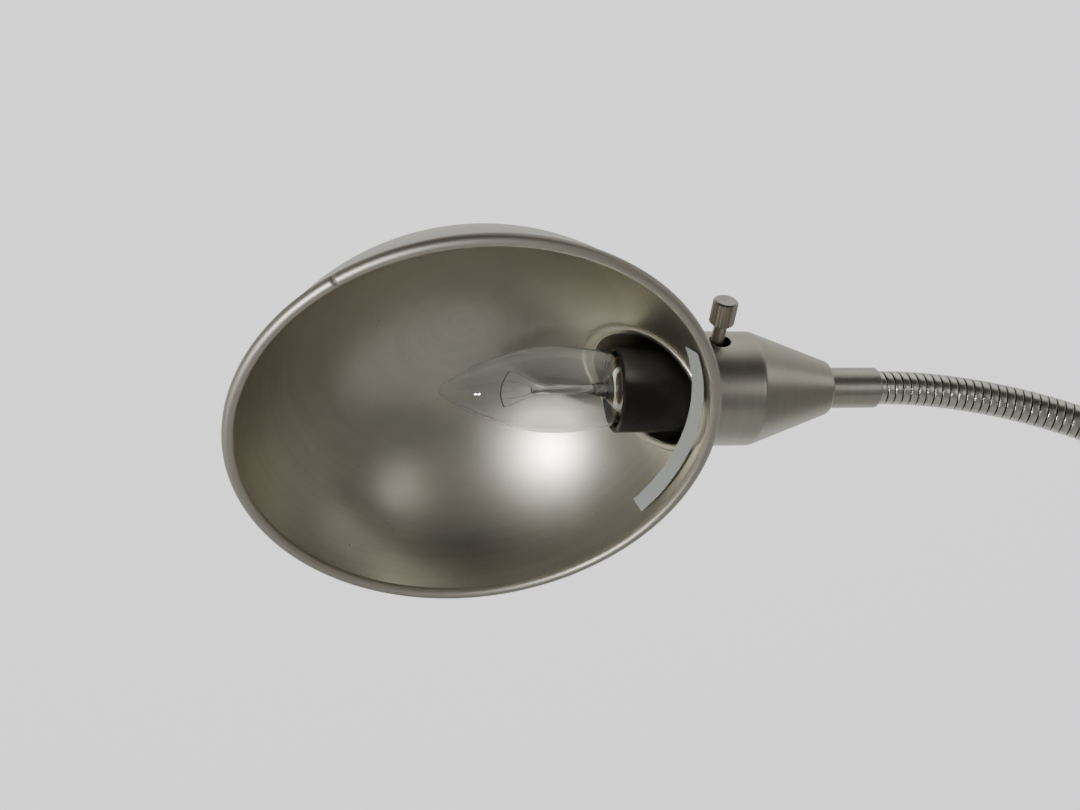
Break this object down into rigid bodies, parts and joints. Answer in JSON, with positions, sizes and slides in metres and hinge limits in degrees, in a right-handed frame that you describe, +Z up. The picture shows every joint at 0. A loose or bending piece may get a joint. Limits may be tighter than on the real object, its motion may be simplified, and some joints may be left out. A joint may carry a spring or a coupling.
{
  "type": "pharmacy floor lamp",
  "caption": "Pharmacy floor lamp: weighted round base, slim pole, flexible gooseneck and a side-mounted metal bowl shade over a clear candle bulb.",
  "frame": {"origin": "centre of the underside of the base", "axes": "+Z up along the pole, the gooseneck leans over and the head points along -X, the switch knob is on the -Y side, the cord inlet faces +X"},
  "size_m": [0.5404, 0.254, 1.3847],
  "materials": {
    "satin_nickel": "satin brushed nickel plate on spun and drawn steel, warm grey",
    "neck_nickel": "satin nickel plated, interlocked flat steel strip",
    "knob_nickel": "nickel plated brass with straight knurl, slightly worn",
    "cast_iron": "rough, black wash",
    "felt": "black felt on board",
    "zinc_steel": "bright zinc plated steel",
    "black_plastic": "moulded nylon",
    "lead_jacket": "flexible vinyl jacket",
    "paper": "white paper label, blank",
    "phenolic": "black phenolic moulding",
    "brass": "rolled and stamped brass",
    "clear_glass": "clear blown glass",
    "black_glass": "black vitrite",
    "solder": "dull solder",
    "wire": "drawn nickel wire",
    "tungsten": "drawn coiled wire"
  },
  "bodies": {
    "stand": {"base_pad": "felt", "base_weight": "cast_iron", "base_cover": "satin_nickel", "cord_bushing": "black_plastic", "base_washer": "zinc_steel", "base_nut": "zinc_steel", "base_nipple": "zinc_steel", "pole_collar": "satin_nickel", "pole_lower": "satin_nickel", "pole_middle": "satin_nickel", "pole_upper": "satin_nickel", "pole_coupler_lower": "satin_nickel", "pole_coupler_middle": "satin_nickel", "lower_ferrule": "satin_nickel", "stand_lead": "lead_jacket"},
    "neck_01": {"neck_link_01": "neck_nickel", "neck_lead_01": "lead_jacket"},
    "neck_02": {"neck_link_02": "neck_nickel", "neck_lead_02": "lead_jacket"},
    "neck_03": {"neck_link_03": "neck_nickel", "neck_lead_03": "lead_jacket"},
    "neck_04": {"neck_link_04": "neck_nickel", "neck_lead_04": "lead_jacket"},
    "neck_05": {"neck_link_05": "neck_nickel", "neck_lead_05": "lead_jacket"},
    "neck_06": {"neck_link_06": "neck_nickel", "neck_lead_06": "lead_jacket"},
    "neck_07": {"neck_link_07": "neck_nickel", "neck_lead_07": "lead_jacket"},
    "neck_08": {"neck_link_08": "neck_nickel", "neck_lead_08": "lead_jacket"},
    "neck_09": {"neck_link_09": "neck_nickel", "neck_lead_09": "lead_jacket"},
    "head": {"neck_link_10": "neck_nickel", "neck_lead_10": "lead_jacket", "upper_ferrule": "satin_nickel", "head_lead": "lead_jacket", "cup_tube": "zinc_steel", "cup_nut": "zinc_steel", "cup_washer": "zinc_steel", "socket_cup": "satin_nickel", "shade": "satin_nickel", "shade_rim": "satin_nickel", "shade_label": "paper", "socket_body": "phenolic", "screw_shell": "brass", "centre_contact": "brass", "switch_body": "phenolic", "socket_cap": "phenolic", "terminal_screws": "brass", "socket_wires": "lead_jacket", "bulb_glass": "clear_glass", "bulb_base": "brass", "bulb_insulator": "black_glass", "bulb_contact": "solder", "bulb_stem": "clear_glass", "bulb_wires": "wire", "bulb_filament": "tungsten"},
    "knob": {"switch_knob": "knob_nickel"}
  },
  "joints": [
    {"name": "neck_bend_1", "type": "hinge", "parent": "stand", "child": "neck_01", "pos_m": [0, 0, 1.185], "axis": [0, -1, 0], "range_deg": [-12.86, 9]},
    {"name": "neck_bend_2", "type": "hinge", "parent": "neck_01", "child": "neck_02", "pos_m": [-0.00197, 0, 1.21003], "axis": [0, -1, 0], "range_deg": [-12.86, 9]},
    {"name": "neck_side_1", "type": "hinge", "parent": "neck_02", "child": "neck_03", "pos_m": [-0.00783, 0, 1.23444], "axis": [0.9511, 0, 0.309], "range_deg": [-15, 15]},
    {"name": "neck_bend_3", "type": "hinge", "parent": "neck_03", "child": "neck_04", "pos_m": [-0.01744, 0, 1.25764], "axis": [0, -1, 0], "range_deg": [-12.86, 9]},
    {"name": "neck_bend_4", "type": "hinge", "parent": "neck_04", "child": "neck_05", "pos_m": [-0.03056, 0, 1.27905], "axis": [0, -1, 0], "range_deg": [-12.86, 9]},
    {"name": "neck_side_2", "type": "hinge", "parent": "neck_05", "child": "neck_06", "pos_m": [-0.04686, 0, 1.29814], "axis": [0.7071, 0, 0.7071], "range_deg": [-15, 15]},
    {"name": "neck_bend_5", "type": "hinge", "parent": "neck_06", "child": "neck_07", "pos_m": [-0.06595, 0, 1.31444], "axis": [0, -1, 0], "range_deg": [-12.86, 9]},
    {"name": "neck_bend_6", "type": "hinge", "parent": "neck_07", "child": "neck_08", "pos_m": [-0.08736, 0, 1.32756], "axis": [0, -1, 0], "range_deg": [-12.86, 9]},
    {"name": "neck_side_3", "type": "hinge", "parent": "neck_08", "child": "neck_09", "pos_m": [-0.11056, 0, 1.33717], "axis": [0.309, 0, 0.9511], "range_deg": [-15, 15]},
    {"name": "neck_bend_7", "type": "hinge", "parent": "neck_09", "child": "head", "pos_m": [-0.13497, 0, 1.34303], "axis": [0, -1, 0], "range_deg": [-12.86, 9]},
    {"name": "switch_turn", "type": "hinge", "parent": "head", "child": "knob", "pos_m": [-0.2301, 0, 1.345], "axis": [0, -0.9925, 0.1219], "continuous": true}
  ]
}
